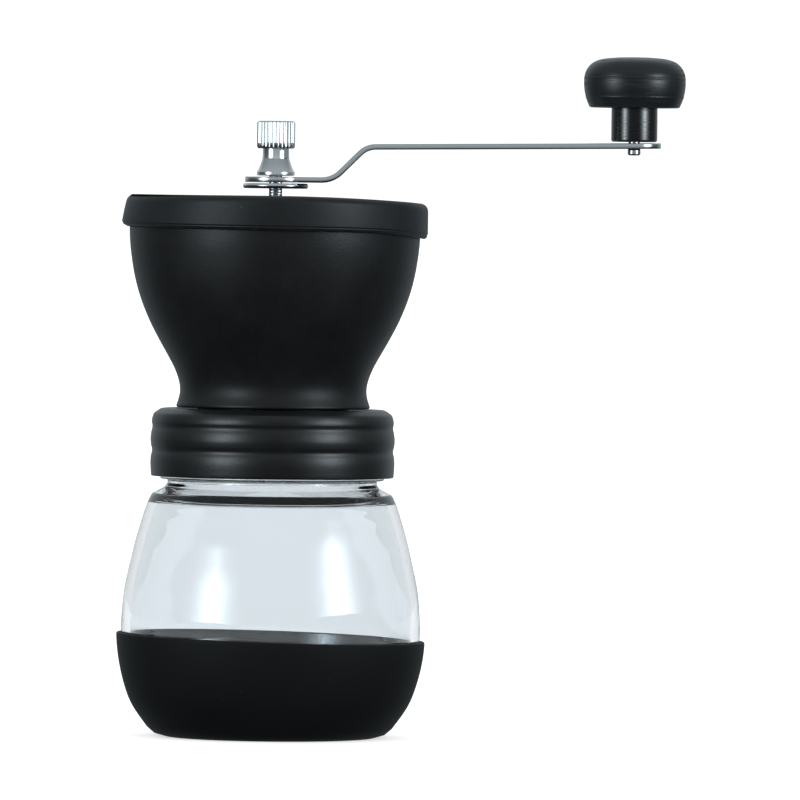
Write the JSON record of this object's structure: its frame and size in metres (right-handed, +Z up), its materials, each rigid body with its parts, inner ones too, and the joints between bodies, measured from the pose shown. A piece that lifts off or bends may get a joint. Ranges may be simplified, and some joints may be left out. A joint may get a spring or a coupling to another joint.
{
  "type": "hand crank coffee grinder",
  "caption": "Hand coffee grinder: crank and knob over a black hopper with a ceramic conical burr, screwed to a glass jar in a silicone base.",
  "frame": {"origin": "centre of the flat underside of the silicone base, on the axis of the jar, hopper and shaft", "axes": "+Z up along the shaft; +X towards the crank's knob at rest"},
  "size_m": [0.1634, 0.0896, 0.1983],
  "materials": {
    "silicone": "matte moulded silicone",
    "jar_glass": "clear pressed glass with a faint blue-green tint",
    "moulded_black": "fine satin texture from the mould",
    "lid_black": "soft satin moulded cover",
    "knob_black": "satin moulded plastic with light scuffs",
    "gloss_black": "gloss moulded plastic",
    "acetal": "natural acetal, turned",
    "burr_ceramic": "pressed and sintered, off white",
    "stainless": "polished stainless sheet with fine drawn lines",
    "shaft_steel": "turned stainless bar",
    "spring_steel": "drawn wire",
    "chrome": "bright chrome plate"
  },
  "bodies": {
    "jar": {"silicone_base": "silicone", "glass_jar": "jar_glass"},
    "hopper": {"hopper_bowl": "moulded_black", "threaded_collar": "moulded_black", "bearing_bridge": "moulded_black", "shaft_bushing": "acetal", "outer_burr": "burr_ceramic", "burr_retainer_ring": "moulded_black", "retainer_screw_1": "stainless", "retainer_screw_2": "stainless", "retainer_screw_3": "stainless"},
    "shaft": {"drive_shaft": "shaft_steel", "shaft_stop_ring": "spring_steel", "thrust_washer": "stainless", "spring_washer": "stainless", "burr_spring": "spring_steel"},
    "burr_cone": {"inner_burr": "burr_ceramic", "lock_plate": "stainless"},
    "adjuster": {"adjusting_nut": "gloss_black"},
    "lid": {"lid": "lid_black"},
    "crank": {"crank_arm": "stainless", "hub_washer": "chrome", "knob_pin": "stainless"},
    "nut": {"knurled_nut": "chrome"},
    "knob": {"knob_cap": "knob_black", "knob_sleeve": "gloss_black"}
  },
  "joints": [
    {"name": "hopper_lift", "type": "slide", "parent": "jar", "child": "hopper", "axis": [0, 0, 1], "range_m": [0, 0.06]},
    {"name": "crank_spin", "type": "hinge", "parent": "hopper", "child": "shaft", "pos_m": [0, 0, 0.11], "axis": [0, 0, 1], "continuous": true},
    {"name": "burr_shift", "type": "slide", "parent": "shaft", "child": "burr_cone", "axis": [0, 0, 1], "range_m": [0, 0.0015], "deforming": ["burr_spring"]},
    {"name": "adjuster_turn", "type": "hinge", "parent": "burr_cone", "child": "adjuster", "pos_m": [0, 0, 0.0774], "axis": [0, 0, 1], "range_deg": [0, 540]},
    {"name": "lid_lift", "type": "slide", "parent": "hopper", "child": "lid", "axis": [0, 0, 1], "range_m": [0, 0.041]},
    {"name": "crank_lift", "type": "slide", "parent": "shaft", "child": "crank", "axis": [0, 0, 1], "range_m": [0, 0.08]},
    {"name": "nut_lift", "type": "slide", "parent": "crank", "child": "nut", "axis": [0, 0, 1], "range_m": [0, 0.02]},
    {"name": "knob_spin", "type": "hinge", "parent": "crank", "child": "knob", "pos_m": [0.1038, 0, 0.18], "axis": [0, 0, 1], "continuous": true}
  ],
  "couplings": [
    {"joint": "adjuster_turn", "follows": "burr_shift", "rad_per_m": 6283.2},
    {"joint": "lid_lift", "follows": "crank_lift", "ratio": 0.5}
  ]
}
